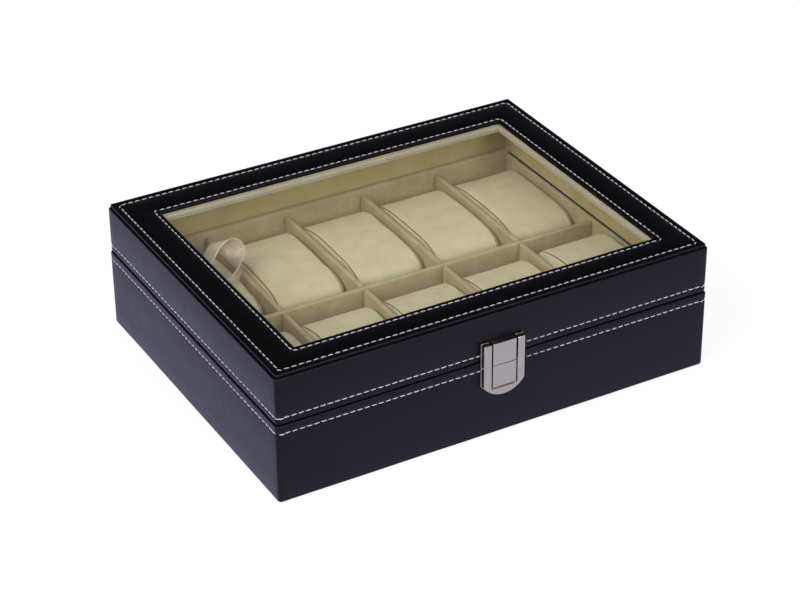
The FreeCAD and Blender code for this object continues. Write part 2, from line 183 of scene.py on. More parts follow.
def makeSky(look):
    world = bpy.data.worlds.new("studioSky")
    scene.world = world
    world.use_nodes = True
    tree = world.node_tree
    tree.nodes.clear()
    camera, seen = seenDirectly(tree)
    around = put(tree, "ShaderNodeTexCoord").outputs["Generated"]
    way = put(tree, "ShaderNodeSeparateXYZ", inputs={0: around}).outputs
    ceiling = spread(tree, way["Z"], look["skyEdge"], (1.0, look["ceilingGlow"]), "SMOOTHSTEP")
    frontWall = spread(tree, way["Y"], look["wallEdge"], (0.0, look["wallGlow"]), "SMOOTHSTEP")
    mirrored = sums(tree, "MAXIMUM", ceiling, frontWall)
    level = mixNumbers(tree, camera, mixNumbers(tree, seen, look["skyFill"], mirrored), 1.0)
    mirrorOnly = sums(tree, "SUBTRACT", seen, camera)
    shade = mixColours(tree, mirrorOnly, plainWhite, tint(look["coolWhite"]))
    sky = put(tree, "ShaderNodeBackground", inputs={"Color": shade, "Strength": level})
    put(tree, "ShaderNodeOutputWorld", inputs={"Surface": sky.outputs[0]})


def hangLamps(look):
    for name, spot, size, power in look["lamps"]:
        light = bpy.data.lights.new(name, "AREA")
        light.shape = "DISK"
        light.size = size
        light.energy = power
        lamp = bpy.data.objects.new(name, light)
        scene.collection.objects.link(lamp)
        lamp.location = spot
        lamp.rotation_euler = (Vector(look["lampAim"]) - Vector(spot)).to_track_quat("-Z", "Y").to_euler()


makeFloor(studio)
makeSky(studio)
hangLamps(studio)
print("camera and studio set")

# PU leather: polyurethane skin embossed with a fine pebble, so a dark face with a soft broad shine
leatherLook = {"colour": "#0a0a0a", "shade": "#060606", "sheen": "#f4f2fc", "pebbleMm": 1.3,
               "pebbleSoft": 0.6, "pebbleDepthMm": 0.03, "waveMm": 26.0, "waveDepthMm": 0.05, "rubMm": 7.0,
               "shine": (0.33, 0.38), "gloss": 0.24, "ior": 1.48}
noiseEnds = (0.3, 0.7)  # between these lie most values of a noise texture


def puLeather(look):
    material, tree, shader, place = startMaterial("blackPuLeather")
    pebble = put(tree, "ShaderNodeTexVoronoi", {"feature": "SMOOTH_F1"},
                 {"Vector": place, "Scale": perMm(look["pebbleMm"]), "Smoothness": look["pebbleSoft"]})
    wave = cloud(tree, place, look["waveMm"], detail=1.5)
    rub = cloud(tree, place, look["rubMm"], detail=4.0)
    colour = mixColours(tree, rub, tint(look["shade"]), tint(look["colour"]))
    shine = spread(tree, rub, noiseEnds, look["shine"])
    swell = bumps(tree, wave, look["waveDepthMm"], strength=1.0)
    relief = {"Height": pebble.outputs["Distance"], "Strength": 1.0, "Distance": look["pebbleDepthMm"] * mm}
    grain = put(tree, "ShaderNodeBump", {"invert": True}, {**relief, "Normal": swell}).outputs[0]
    feed(tree, shader, {"Base Color": colour, "Roughness": shine, "Normal": grain, "IOR": look["ior"],
                        "Specular IOR Level": look["gloss"], "Specular Tint": tint(look["sheen"])})
    return material


# Velvet: short upright pile, so a matt face that lightens at grazing angles and shows brushed patches
velvetPile = {"patchEnds": (0.32, 0.68), "fleckEnds": (0.35, 0.65), "lift": 0.7, "matt": 0.92, "gloss": 0.15,
              "sheenMatt": 0.45}
# each look's seam colour is a painted shade, laid along the pillows' sunk seams through their seam attribute
liningLook = {"colour": "#b7a880", "shade": "#a9996f", "tip": "#cdc2a2", "seam": "#6e5f40", "patchMm": 12.0,
              "pileMm": 1.2, "pileDepthMm": 0.12, "fleck": 0.18, "sheen": 0.12}
# the lid linings: the lining velvet drawn lighter and yellower, partly a painted light that makes up for the
# shade cast by the lid's border
lidLightenedLook = {"colour": "#c5b47a", "shade": "#b8a666", "tip": "#d3c8a4", "seam": "#6e5f40", "patchMm": 14.0,
           "pileMm": 0.9, "pileDepthMm": 0.12, "fleck": 0.18, "sheen": 0.12}
stripLook = {"colour": "#c4baa4", "shade": "#b8ad94", "tip": "#d3cbba", "seam": "#6e5f40", "patchMm": 14.0,
             "pileMm": 0.9, "pileDepthMm": 0.1, "fleck": 0.18, "sheen": 0.15}
pillowLook = {"colour": "#d3caa6", "shade": "#c8be97", "tip": "#dcd5b8", "seam": "#735d38", "patchMm": 9.0,
              "pileMm": 1.4, "pileDepthMm": 0.1, "fleck": 0.2, "sheen": 0.2}


def velvet(name, look, pile):
    material, tree, shader, place = startMaterial(name)
    patch = cloud(tree, place, look["patchMm"], detail=3.0)
    tufts = cloud(tree, place, look["pileMm"], detail=2.0)
    brushing = spread(tree, patch, pile["patchEnds"], (0.0, 1.0))
    brushed = mixColours(tree, brushing, tint(look["shade"]), tint(look["colour"]))
    fleck = spread(tree, tufts, pile["fleckEnds"], (0.0, look["fleck"]))
    flecked = mixColours(tree, fleck, brushed, tint(look["tip"]))
    seam = put(tree, "ShaderNodeAttribute", {"attribute_name": "seam"})  # 1 on a pillow's sunk seam rows, where the seam colour darkens the pile as a painted shade
    seamShaded = mixColours(tree, seam.outputs["Fac"], flecked, tint(look["seam"]))
    lift = bumps(tree, tufts, look["pileDepthMm"], pile["lift"])
    feed(tree, shader, {"Base Color": seamShaded, "Normal": lift, "Roughness": pile["matt"],
                        "Specular IOR Level": pile["gloss"], "Sheen Weight": look["sheen"],
                        "Sheen Roughness": pile["sheenMatt"], "Sheen Tint": tint(look["tip"])})
    return material


# Thin satin ribbon: bright filament on an open ground, so shiny, a little see-through, close at the selvedges
ribbonLook = {"colour": "#ded3ba", "shade": "#cfc3a6", "hazeMm": 9.0, "ribMm": 0.8, "ribDepthMm": 0.03,
              "ribLift": 0.3, "ribWander": 0.4, "shine": 0.3, "sheen": 0.4, "widthMm": 11.0,
              "selvedgeMm": 0.8, "cover": 0.55, "edgeCover": 0.88}
waveRate = 20.0  # radians that a wave texture turns in one unit, so a rib is tau times ribMm wide


def thinSatin(look):
    material, tree, shader, place = startMaterial("creamSatin")
    weave = put(tree, "ShaderNodeUVMap", {"uv_map": "weave"}).outputs[0]  # metres across and along the ribbon
    rib = put(tree, "ShaderNodeTexWave", {"bands_direction": "Y"},
              {"Vector": weave, "Scale": perMm(look["ribMm"]) / waveRate, "Distortion": look["ribWander"]})
    haze = cloud(tree, place, look["hazeMm"], detail=2.0)
    colour = mixColours(tree, haze, tint(look["shade"]), tint(look["colour"]))
    lift = bumps(tree, rib.outputs["Fac"], look["ribDepthMm"], look["ribLift"])
    across = put(tree, "ShaderNodeSeparateXYZ", inputs={0: weave}).outputs["X"]
    fromEdge = sums(tree, "PINGPONG", across, look["widthMm"] * mm / 2)
    edge = look["selvedgeMm"] * mm
    cover = spread(tree, fromEdge, (edge / 2, edge), (look["edgeCover"], look["cover"]), "SMOOTHSTEP")
    feed(tree, shader, {"Base Color": colour, "Normal": lift, "Alpha": cover, "Roughness": look["shine"],
                        "Sheen Weight": look["sheen"]})
    return material


# Metal: plated and polished, so mirror-like with faint handling haze in the roughness
claspLook = {"colour": "#bdb7a6", "shade": "#b0aa9a", "hazeMm": 5.0, "shine": (0.1, 0.2)}
hingeLook = {"colour": "#a8a6a3", "shade": "#8f8d8b", "hazeMm": 3.0, "shine": (0.28, 0.4)}


def platedMetal(name, look):
    material, tree, shader, place = startMaterial(name)
    haze = cloud(tree, place, look["hazeMm"], detail=5.0)
    shine = spread(tree, haze, noiseEnds, look["shine"])
    colour = mixColours(tree, haze, tint(look["shade"]), tint(look["colour"]))
    feed(tree, shader, {"Base Color": colour, "Roughness": shine, "Metallic": 1.0})
    return material


# Polyester thread: spun filament, so a dull white with a fine twist, drawn coarser than life to show
threadLook = {"colour": "#e4e4ea", "shade": "#bcbcc4", "twistMm": 0.7, "twistDepthMm": 0.1, "lift": 0.5,
              "matt": 0.7}


def polyesterThread(look):
    material, tree, shader, place = startMaterial("whitePolyesterThread")
    twist = cloud(tree, place, look["twistMm"], detail=2.0)
    colour = mixColours(tree, twist, tint(look["shade"]), tint(look["colour"]))
    lift = bumps(tree, twist, look["twistDepthMm"], look["lift"])
    feed(tree, shader, {"Base Color": colour, "Normal": lift, "Roughness": look["matt"]})
    return material


# Felt and fibre board: matt, with matted fibre in one and pressed chips in the other
fibreFinish = {"tangle": 1.2, "lift": 0.6, "matt": 0.95, "gloss": 0.2}
feltLook = {"colour": "#1d1d1f", "shade": "#0d0d0e", "fibreMm": 1.2, "depthMm": 0.3}
boardLook = {"colour": "#9c7c58", "shade": "#765a3e", "fibreMm": 2.5, "depthMm": 0.05}


def fibre(name, look, finish):
    material, tree, shader, place = startMaterial(name)
    strand = cloud(tree, place, look["fibreMm"], detail=6.0, tangle=finish["tangle"])
    colour = mixColours(tree, strand, tint(look["shade"]), tint(look["colour"]))
    lift = bumps(tree, strand, look["depthMm"], finish["lift"])
    feed(tree, shader, {"Base Color": colour, "Normal": lift, "Roughness": finish["matt"],
                        "Specular IOR Level": finish["gloss"]})
    return material


# Float glass: clear and flat, so almost nothing but a faint veil and the lamps at grazing angles
glassLook = {"colour": "#dfe6e2", "cover": 0.025, "smearMm": 40.0, "shine": (0.03, 0.09), "ior": 1.52}


def floatGlass(look):
    material, tree, shader, place = startMaterial("clearFloatGlass")
    smear = cloud(tree, place, look["smearMm"], detail=3.0)
    shine = spread(tree, smear, (0.0, 1.0), look["shine"])
    feed(tree, shader, {"Roughness": shine, "Base Color": tint(look["colour"]), "IOR": look["ior"],
                        "Alpha": look["cover"]})
    return material


blackLeather = puLeather(leatherLook)
liningVelvet = velvet("creamVelvetLining", liningLook, velvetPile)
lidLightenedVelvet = velvet("creamVelvetLidLightened", lidLightenedLook, velvetPile)
stripVelvet = velvet("paleVelvetStrip", stripLook, velvetPile)
pillowVelvet = velvet("creamVelvetPillow", pillowLook, velvetPile)
creamSatin = thinSatin(ribbonLook)
claspNickel = platedMetal("polishedNickel", claspLook)
hingeSteel = platedMetal("nickelledSteel", hingeLook)
whiteThread = polyesterThread(threadLook)
blackFelt = fibre("blackFelt", feltLook, fibreFinish)
fibreBoard = fibre("fibreBoard", boardLook, fibreFinish)
clearGlass = floatGlass(glassLook)
print("materials made")


def pieceFrom(bm, name, material, sharpAngle=40):
    bmesh.ops.remove_doubles(bm, verts=bm.verts, dist=weld)
    bmesh.ops.recalc_face_normals(bm, faces=bm.faces)
    mesh = bpy.data.meshes.new(name)
    bm.to_mesh(mesh)
    bm.free()
    mesh.shade_smooth()
    mesh.set_sharp_from_angle(angle=math.radians(sharpAngle))
    mesh.materials.append(material)
    piece = bpy.data.objects.new(name, mesh)
    scene.collection.objects.link(piece)
    return piece


def settle(piece):  # turns what the modifiers show into the piece's own mesh
    shown = piece.evaluated_get(bpy.context.evaluated_depsgraph_get())
    mesh = bpy.data.meshes.new_from_object(shown)
    piece.modifiers.clear()
    piece.data = mesh
    return piece


def ring(reach, corner, inset, stepMm=5.0, cornerSteps=6):
    # points round a rounded rectangle, anticlockwise from above; an inset may be (sides, front, rear)
    side, front, rear = inset if isinstance(inset, tuple) else (inset, inset, inset)
    radius = max(corner - (side + front) / 2, 0.0)
    x = reach[0] - side - radius
    low, high = front - reach[1] + radius, reach[1] - rear - radius
    arcs = []
    for cx, cy, first in ((x, low, -90), (x, high, 0), (-x, high, 90), (-x, low, 180)):
        angles = [math.radians(first + 90 * i / cornerSteps) for i in range(cornerSteps + 1)]
        arcs.append([(cx + radius * math.cos(a), cy + radius * math.sin(a)) for a in angles])
    points = []
    for i, arc in enumerate(arcs):
        points += arc
        start, end = arc[-1], arcs[(i + 1) % 4][0]
        count = round(2 * reach[(i + 1) % 2] / stepMm)
        for k in range(1, count):
            points.append((start[0] + (end[0] - start[0]) * k / count,
                           start[1] + (end[1] - start[1]) * k / count))
    return points


slackMm = 38.0  # across the slow waves in a covering that lies a little loose


def sweep(name, reach, corner, profile, material, wobble):
    # carries a closed profile of (inset, height) points round the rectangle
    bm = bmesh.new()
    rows = []
    for inset, z in profile:
        rows.append([bm.verts.new((x * mm, y * mm, z * mm)) for x, y in ring(reach, corner, inset)])
    for a, b in zip(rows, rows[1:] + rows[:1]):
        for i in range(len(a)):
            k = (i + 1) % len(a)
            bm.faces.new((a[i], a[k], b[k], b[i]))
    bmesh.ops.remove_doubles(bm, verts=bm.verts, dist=weld)
    bmesh.ops.recalc_face_normals(bm, faces=bm.faces)
    bm.normal_update()
    for v in bm.verts:
        v.co += v.normal * wobble * mm * noise.noise(v.co * perMm(slackMm))
    return pieceFrom(bm, name, material)


def dip(middle, depth, half):  # a stitched-down line across a flat run of the profile
    shares = (-1, -0.66, -0.33, 0, 0.33, 0.66, 1)
    return [(middle + s * half, depth * math.cos(s * math.pi / 2) ** 2) for s in shares]


def turnOver(cx, cz, radius, first, last, steps=4):  # rounded edge of a profile
    angles = [math.radians(first + (last - first) * i / steps) for i in range(steps + 1)]
    return [(cx + radius * math.cos(a), cz + radius * math.sin(a)) for a in angles]


def notch(piece, boxes):  # cuts box-shaped mortises
    cutters = []
    for low, high in boxes:
        bm = bmesh.new()
        bmesh.ops.create_cube(bm, size=1.0)
        size, middle = Vector(high) - Vector(low), (Vector(high) + Vector(low)) / 2
        for v in bm.verts:
            v.co = Vector((v.co.x * size.x, v.co.y * size.y, v.co.z * size.z)) + middle
        cutter = pieceFrom(bm, "cutter", blackLeather)
        change = piece.modifiers.new("mortise", "BOOLEAN")
        change.object = cutter
        change.solver = "EXACT"
        cutters.append(cutter)
    settle(piece)
    for cutter in cutters:
        bpy.data.objects.remove(cutter)


# Mortises in the leather for the hinge leaves, cut right through to the rear
mortise = {"gap": 0.2, "over": 1.0, "rear": 106.0}


def hingeNotches(leafNodes, floorZ, ceilingZ):
    gap = mortise["gap"] * mm
    boxes = []
    for node in leafNodes:
        low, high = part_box(node)
        boxes.append(((low.x - gap, low.y - gap, floorZ * mm),
                      (high.x + gap, mortise["rear"] * mm, ceilingZ * mm)))
    return boxes


# Base wrap: one skin over the walls, hemmed over the rim and under the floor, stitched below the rim
baseSkin = {"reach": (127.5, 100.0), "corner": 2.0, "bottom": 1.0, "top": 46.0, "thick": 1.0, "rimHem": 5.0,
            "lip": (0.3, 3.2), "floorHem": 12.0, "edge": 0.9, "wallRows": (12.0, 26.0), "stitchZ": 41.2,
            "dipDepth": 0.3, "dipHalf": 1.5, "wobble": 0.1}


def makeBaseWrap(part):
    low, high, edge, thick = part["bottom"], part["top"], part["edge"], part["thick"]
    outer = turnOver(edge, low + edge, edge, 270, 180)
    wall = [(0.0, z) for z in part["wallRows"]]
    wall += [(d, z) for z, d in dip(part["stitchZ"], part["dipDepth"], part["dipHalf"])]
    rim = turnOver(edge, high - edge, edge, 180, 90)
    fold, deep = part["lip"]  # the hem turns down inside the rim, where the side linings stop short of it
    inner, turned = part["rimHem"], part["rimHem"] + fold
    hem = [(inner, high), (turned, high - fold), (turned, high - deep), (inner, high - deep),
           (inner, high - thick), (thick, high - thick)]
    under = [(thick, low + thick), (part["floorHem"], low + thick), (part["floorHem"], low)]
    profile = outer + wall + rim + hem + under
    piece = sweep("base_skin", part["reach"], part["corner"], profile, blackLeather, part["wobble"])
    leaves = ("hinge_left_base_leaf", "hinge_right_base_leaf")
    notch(piece, hingeNotches(leaves, high - thick, high + mortise["over"]))
    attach(piece, "base")
    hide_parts("base_wrap")


makeBaseWrap(baseSkin)

# Lid wrap: the same skin round the lid walls, turned in above under the top cover
lidSkin = {"reach": (127.1, 99.6), "corner": 2.0, "bottom": 46.4, "top": 73.0, "thick": 1.0, "rimHem": 5.0,
           "topTurn": 10.0, "edge": 0.9, "wallRow": 60.0, "stitchZ": 50.1, "dipDepth": 0.3, "dipHalf": 1.5,
           "wobble": 0.1}


def makeLidWrap(part):
    low, high, edge, thick = part["bottom"], part["top"], part["edge"], part["thick"]
    outer = turnOver(edge, low + edge, edge, 270, 180)
    wall = [(d, z) for z, d in dip(part["stitchZ"], part["dipDepth"], part["dipHalf"])]
    wall.append((0.0, part["wallRow"]))
    shoulder = turnOver(edge, high - edge, edge, 180, 90)
    flange = [(part["topTurn"], high), (part["topTurn"], high - thick), (thick, high - thick)]
    hem = [(thick, low + thick), (part["rimHem"], low + thick), (part["rimHem"], low)]
    profile = outer + wall + shoulder + flange + hem
    piece = sweep("lid_skin", part["reach"], part["corner"], profile, blackLeather, part["wobble"])
    leaves = ("hinge_left_lid_leaf", "hinge_right_lid_leaf")
    notch(piece, hingeNotches(leaves, low - mortise["over"], low + thick))
    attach(piece, "lid")
    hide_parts("lid_wrap")


makeLidWrap(lidSkin)

# Top cover: a leather panel with the window cut in it, stitched along both edges
topPanel = {"reach": (126.1, 98.6), "corner": 1.2, "bottom": 73.0, "top": 75.0, "edge": 0.8,
            "underEdge": 0.25, "window": (19.9, 18.9, 21.9), "coreZ": 72.0, "coreOuter": 9.0,
            "coreInner": (12.8, 11.8, 14.8), "outerStitch": (3.6, 3.6, 4.1),
            "innerStitch": (17.35, 16.1, 19.6), "stitchCorner": (4.6, 17.5), "dipDepth": 0.28,
            "dipHalf": 1.4, "crown": 0.18, "wobble": 0.06}


def inward(inset, step):
    return tuple(side + step for side in inset)


def between(first, last, share):
    return tuple(a + share * (b - a) for a, b in zip(first, last))


def makeTopCover(part):
    top, low, edge = part["top"], part["bottom"], part["edge"]
    profile = [(part["underEdge"], low)] + turnOver(edge, top - edge, edge, 180, 90)
    outer, inner, window = part["outerStitch"], part["innerStitch"], part["window"]
    valley = dip(0.0, part["dipDepth"], part["dipHalf"])
    profile += [(inward(outer, s), top - d) for s, d in valley]
    profile += [(between(outer, inner, share), top + part["crown"] * math.sin(share * math.pi))
                for share in (0.25, 0.5, 0.75)]
    profile += [(inward(inner, s), top - d) for s, d in valley]
    profile += [(inward(window, edge * (math.sin(a) - 1)), top - edge * (1 - math.cos(a)))
                for a in (0.0, 0.5, 1.0, math.pi / 2)]
    profile += [(window, low), (part["coreInner"], low), (part["coreInner"], part["coreZ"]),
                (part["coreOuter"], part["coreZ"]), (part["coreOuter"], low)]
    piece = sweep("top_panel", part["reach"], part["corner"], profile, blackLeather, part["wobble"])
    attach(piece, "lid")
    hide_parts("lid_top_cover")


makeTopCover(topPanel)
print("leather pieces made")

# Stitching: one arched length of thread repeated along the seam lines
stitching = {"pitchMm": 4.0, "threadMm": 0.6, "spanMm": 3.7, "archMm": 0.5, "sinkMm": 0.42, "slant": 0.05,
             "seed": 7, "bendSteps": 6, "roundSteps": 6, "topLevelMm": 74.0, "claspGapMm": 13.0}


def stitchTree(look):
    tree = bpy.data.node_groups.new("stitchRow", "GeometryNodeTree")
    tree.is_modifier = True
    face = tree.interface
    face.new_socket("Geometry", in_out="OUTPUT", socket_type="NodeSocketGeometry")
    face.new_socket("Geometry", in_out="INPUT", socket_type="NodeSocketGeometry")
    for name in ("Pitch", "Thread", "Span", "Arch", "Sink", "Slant", "Top Level"):
        face.new_socket(name, in_out="INPUT", socket_type="NodeSocketFloat")
    face.new_socket("Seed", in_out="INPUT", socket_type="NodeSocketInt")
    face.new_socket("Thread Material", in_out="INPUT", socket_type="NodeSocketMaterial")
    given = put(tree, "NodeGroupInput").outputs
    line = put(tree, "GeometryNodeMeshToCurve", inputs={"Mesh": given["Geometry"]})
    spaced = put(tree, "GeometryNodeResampleCurve", {"mode": "LENGTH"},
                 {"Curve": line.outputs[0], "Length": given["Pitch"]})
    halfSpan = sums(tree, "MULTIPLY", given["Span"], 0.5)
    backSpan = sums(tree, "MULTIPLY", given["Span"], -0.5)
    below = sums(tree, "MULTIPLY", given["Sink"], -1.0)
    start = put(tree, "ShaderNodeCombineXYZ", inputs={"X": backSpan, "Z": below}).outputs[0]
    crest = put(tree, "ShaderNodeCombineXYZ", inputs={"Z": given["Arch"]}).outputs[0]
    end = put(tree, "ShaderNodeCombineXYZ", inputs={"X": halfSpan, "Z": below}).outputs[0]
    bend = put(tree, "GeometryNodeCurveQuadraticBezier",
               inputs={"Resolution": look["bendSteps"], "Start": start, "Middle": crest, "End": end})
    halfThread = sums(tree, "MULTIPLY", given["Thread"], 0.5)
    section = put(tree, "GeometryNodeCurvePrimitiveCircle",
                  inputs={"Resolution": look["roundSteps"], "Radius": halfThread})
    thread = put(tree, "GeometryNodeCurveToMesh",
                 inputs={"Curve": bend.outputs[0], "Profile Curve": section.outputs[0], "Fill Caps": True})
    tangent = put(tree, "GeometryNodeInputTangent").outputs[0]
    sideways = put(tree, "ShaderNodeVectorMath", {"operation": "CROSS_PRODUCT"}, {0: tangent, 1: (0, 0, 1)})
    place = put(tree, "GeometryNodeInputPosition").outputs[0]
    height = put(tree, "ShaderNodeSeparateXYZ", inputs={0: place}).outputs["Z"]
    onTop = put(tree, "FunctionNodeCompare", {"data_type": "FLOAT", "operation": "GREATER_THAN"},
                {0: height, 1: given["Top Level"]}).outputs[0]
    outward = put(tree, "GeometryNodeSwitch", {"input_type": "VECTOR"},
                  {0: onTop, 1: sideways.outputs[0], 2: (0, 0, 1)}).outputs[0]
    turn = put(tree, "FunctionNodeAxesToRotation", {"primary_axis": "Z", "secondary_axis": "X"},
               {0: outward, 1: tangent})
    backSlant = sums(tree, "MULTIPLY", given["Slant"], -1.0)
    sway = put(tree, "FunctionNodeRandomValue", {"data_type": "FLOAT"},
               {2: backSlant, 3: given["Slant"], "Seed": given["Seed"]}).outputs[1]
    swayAngles = put(tree, "ShaderNodeCombineXYZ", inputs={"Z": sway}).outputs[0]
    swayTurn = put(tree, "FunctionNodeEulerToRotation", inputs={0: swayAngles}).outputs[0]
    swung = put(tree, "FunctionNodeRotateRotation", {"rotation_space": "LOCAL"},
                {0: turn.outputs[0], 1: swayTurn}).outputs[0]
    placed = put(tree, "GeometryNodeInstanceOnPoints",
                 inputs={"Points": spaced.outputs[0], "Instance": thread.outputs[0], "Rotation": swung})
    real = put(tree, "GeometryNodeRealizeInstances", inputs={0: placed.outputs[0]})
    smooth = put(tree, "GeometryNodeSetShadeSmooth", inputs={0: real.outputs[0]})
    dyed = put(tree, "GeometryNodeSetMaterial",
               inputs={"Geometry": smooth.outputs[0], "Material": given["Thread Material"]})
    put(tree, "NodeGroupOutput", inputs={0: dyed.outputs[0]})
    return tree


def stitchRows(name, body, rows, tree, look):
    bm = bmesh.new()
    for points, closed in rows:
        chain = [bm.verts.new(Vector(p) * mm) for p in points]
        for a, b in zip(chain, chain[1:] + chain[:1] if closed else chain[1:]):
            bm.edges.new((a, b))
    mesh = bpy.data.meshes.new(name)
    bm.to_mesh(mesh)
    bm.free()
    piece = bpy.data.objects.new(name, mesh)
    scene.collection.objects.link(piece)
    sewn = piece.modifiers.new("stitches", "NODES")
    sewn.node_group = tree
    values = {"Pitch": look["pitchMm"] * mm, "Thread": look["threadMm"] * mm, "Span": look["spanMm"] * mm,
              "Arch": look["archMm"] * mm, "Sink": look["sinkMm"] * mm, "Slant": look["slant"],
              "Top Level": look["topLevelMm"] * mm, "Seed": look["seed"], "Thread Material": whiteThread}
    for item in tree.interface.items_tree:
        if item.in_out == "INPUT" and item.name in values:
            sewn[item.identifier] = values[item.name]
    settle(piece)
    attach(piece, body)


sewing = stitchTree(stitching)


def sideSeam(skin, look):  # open line round the four walls, leaving the clasp's place bare
    reach, gap = skin["reach"], look["claspGapMm"]
    line = [(x, y, skin["stitchZ"]) for x, y in ring(reach, skin["corner"], skin["dipDepth"])]
    front = reach[1] - skin["dipDepth"]
    bare = [abs(x) < gap and y < -front + skin["corner"] / 4 for x, y, z in line]
    first = next(i for i in range(len(line)) if bare[i - 1] and not bare[i])
    run = [line[(first + i) % len(line)] for i in range(len(line)) if not bare[(first + i) % len(line)]]
    return [(gap, -front, skin["stitchZ"])] + run + [(-gap, -front, skin["stitchZ"])], False


def topSeam(panel, name, corner):
    z = panel["top"] - panel["dipDepth"]
    return [(x, y, z) for x, y in ring(panel["reach"], corner, panel[name])], True


lidSeams = [sideSeam(lidSkin, stitching)]
for seam, corner in zip(("outerStitch", "innerStitch"), topPanel["stitchCorner"]):
    lidSeams.append(topSeam(topPanel, seam, corner))
stitchRows("base_stitching", "base", [sideSeam(baseSkin, stitching)], sewing, stitching)
stitchRows("lid_stitching", "lid", lidSeams, sewing, stitching)
print("stitching sewn")

# Velvet-covered card: linings, dividers and the strip that holds the glass
cardFinish = {"edge": 0.45, "edgeSteps": 3, "dividerEdge": 1.1, "rimEdge": 0.95, "ledgeRound": 1.6,
              "ledgeSteps": 6, "sharpAngle": 60,
              "lidGap": {"front": 0.3, "rear": -0.36, "left": -0.5, "right": -0.5}, "sideDrop": 2.0}


def addBox(bm, low, high):
    bmesh.ops.create_cube(bm, size=1.0)
    for v in bm.verts:
        v.co = Vector([low[i] if v.co[i] < 0 else high[i] for i in range(3)])


def softCard(node, body, outline=None, along="x", edge=cardFinish["edge"], gap=0.0, drop=0.0,
             velvetCloth=liningVelvet):
    low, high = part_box(node)
    low.z += gap * mm
    high.z -= drop * mm
    bm = bmesh.new()
    if outline is None:
        addBox(bm, low, high)
    else:
        corners = [(p * mm, low.y, z * mm) if along == "x" else (low.x, p * mm, z * mm) for p, z in outline]
        face = bm.faces.new([bm.verts.new(corner) for corner in corners])
        pulled = bmesh.ops.extrude_face_region(bm, geom=[face])
        shift = Vector((0, high.y - low.y, 0)) if along == "x" else Vector((high.x - low.x, 0, 0))
        moved = [g for g in pulled["geom"] if isinstance(g, bmesh.types.BMVert)]
        bmesh.ops.translate(bm, vec=shift, verts=moved)
        bmesh.ops.recalc_face_normals(bm, faces=bm.faces)
    if edge:
        bmesh.ops.bevel(bm, geom=bm.edges[:], offset=edge * mm, segments=cardFinish["edgeSteps"], profile=0.5,
                        affect="EDGES", clamp_overlap=True)
    piece = pieceFrom(bm, node + "_velvet", velvetCloth, cardFinish["sharpAngle"])
    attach(piece, body)
    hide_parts(node)


def ledgeOutline(node, sign):  # section of a thick lining whose inner top edge is rounded over
    low, high = (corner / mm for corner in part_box(node))
    inner, outer = sorted((abs(low.y), abs(high.y)))
    radius = cardFinish["ledgeRound"]
    nose = turnOver(inner + radius, high.z - radius, radius, 90, 180, cardFinish["ledgeSteps"])
    return [(sign * y, z) for y, z in [(outer, low.z), (outer, high.z)] + nose + [(inner, low.z)]]


for side in ("front", "rear", "left", "right"):
    node = "base_" + side + "_lining"
    if side in ("front", "rear"):
        softCard(node, "base", ledgeOutline(node, 1 if side == "rear" else -1), "y", edge=0)
    else:
        softCard(node, "base", edge=cardFinish["rimEdge"], drop=cardFinish["sideDrop"])
    softCard("lid_" + side + "_lining", "lid", gap=cardFinish["lidGap"][side], velvetCloth=lidLightenedVelvet)
softCard("base_floor_lining", "base")

dividers = {"crossings": (-73.08, -24.36, 24.36, 73.08), "half": 1.7, "notchHalf": 2.0, "low": 7.5,
            "middle": 25.25, "top": 43.0, "reachX": 120.3, "reachY": 90.6}


def makeDividers(part):
    low, mid, top, half = part["low"], part["middle"], part["top"], part["half"]
    outline = [(-part["reachX"], top), (-part["reachX"], low)]
    for x in part["crossings"]:
        outline += [(x - half, low), (x - half, mid), (x + half, mid), (x + half, low)]
    outline += [(part["reachX"], low), (part["reachX"], top)]
    softCard("long_divider", "base", outline, "x", cardFinish["dividerEdge"])
    reach, wide = part["reachY"], part["notchHalf"]
    outline = [(-reach, low), (reach, low), (reach, top), (wide, top), (wide, mid), (-wide, mid),
               (-wide, top), (-reach, top)]
    for i in range(len(part["crossings"])):
        softCard("cross_divider_%d" % (i + 1), "base", outline, "y", cardFinish["dividerEdge"])


makeDividers(dividers)

glassStrip = {"reach": (122.1, 94.6), "low": 67.5, "flangeTop": 70.5, "top": 73.0,
              "window": (15.9, 14.9, 17.9), "flat": 6.0, "edge": 0.9, "grooveZ": 68.5, "grooveMm": 0.8,
              "grooveSlope": 0.1, "seatStep": 0.6, "seatZ": 71.0, "seatChamfer": 0.3,
              "collar": (9.0, 8.0, 11.0), "wobble": 0.05, "paneLap": 0.5, "paneGap": 0.02}


def makeRetainer(part):
    edge, low, window = part["edge"], part["low"], part["window"]
    nose = [(inward(window, edge * (math.sin(a) - 1)), low + edge * (1 - math.cos(a)))
            for a in (0.0, 0.4, 0.8, 1.2, math.pi / 2)]
    groove, size, slope = part["grooveZ"], part["grooveMm"], part["grooveSlope"]
    sunk, chamfer = inward(window, -size), part["seatChamfer"]
    wall = [(window, groove), (sunk, groove + slope), (sunk, groove + size), (window, groove + size + slope),
            (window, part["seatZ"] - chamfer), (inward(window, -chamfer), part["seatZ"])]
    seat = inward(window, -part["seatStep"])
    back = [(seat, part["seatZ"]), (seat, part["top"]), (part["collar"], part["top"]),
            (part["collar"], part["flangeTop"]), (0.0, part["flangeTop"])]
    profile = [(0.0, low), (part["flat"], low)] + nose + wall + back
    piece = sweep("window_strip", part["reach"], 0.0, profile, stripVelvet, part["wobble"])
    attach(piece, "lid")
    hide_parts("window_retainer")


def makePane(part):  # the glass, bedded a little way into the strip
    side, front, rear = inward(part["window"], -part["paneLap"])
    x, y = part["reach"]
    low = Vector((side - x, front - y, part["seatZ"] + part["paneGap"])) * mm
    high = Vector((x - side, y - rear, part["top"] - part["paneGap"])) * mm
    bm = bmesh.new()
    addBox(bm, low, high)
    piece = pieceFrom(bm, "clear_pane", clearGlass)
    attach(piece, "lid")
    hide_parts("window_pane")


makeRetainer(glassStrip)
makePane(glassStrip)
print("velvet cards made")

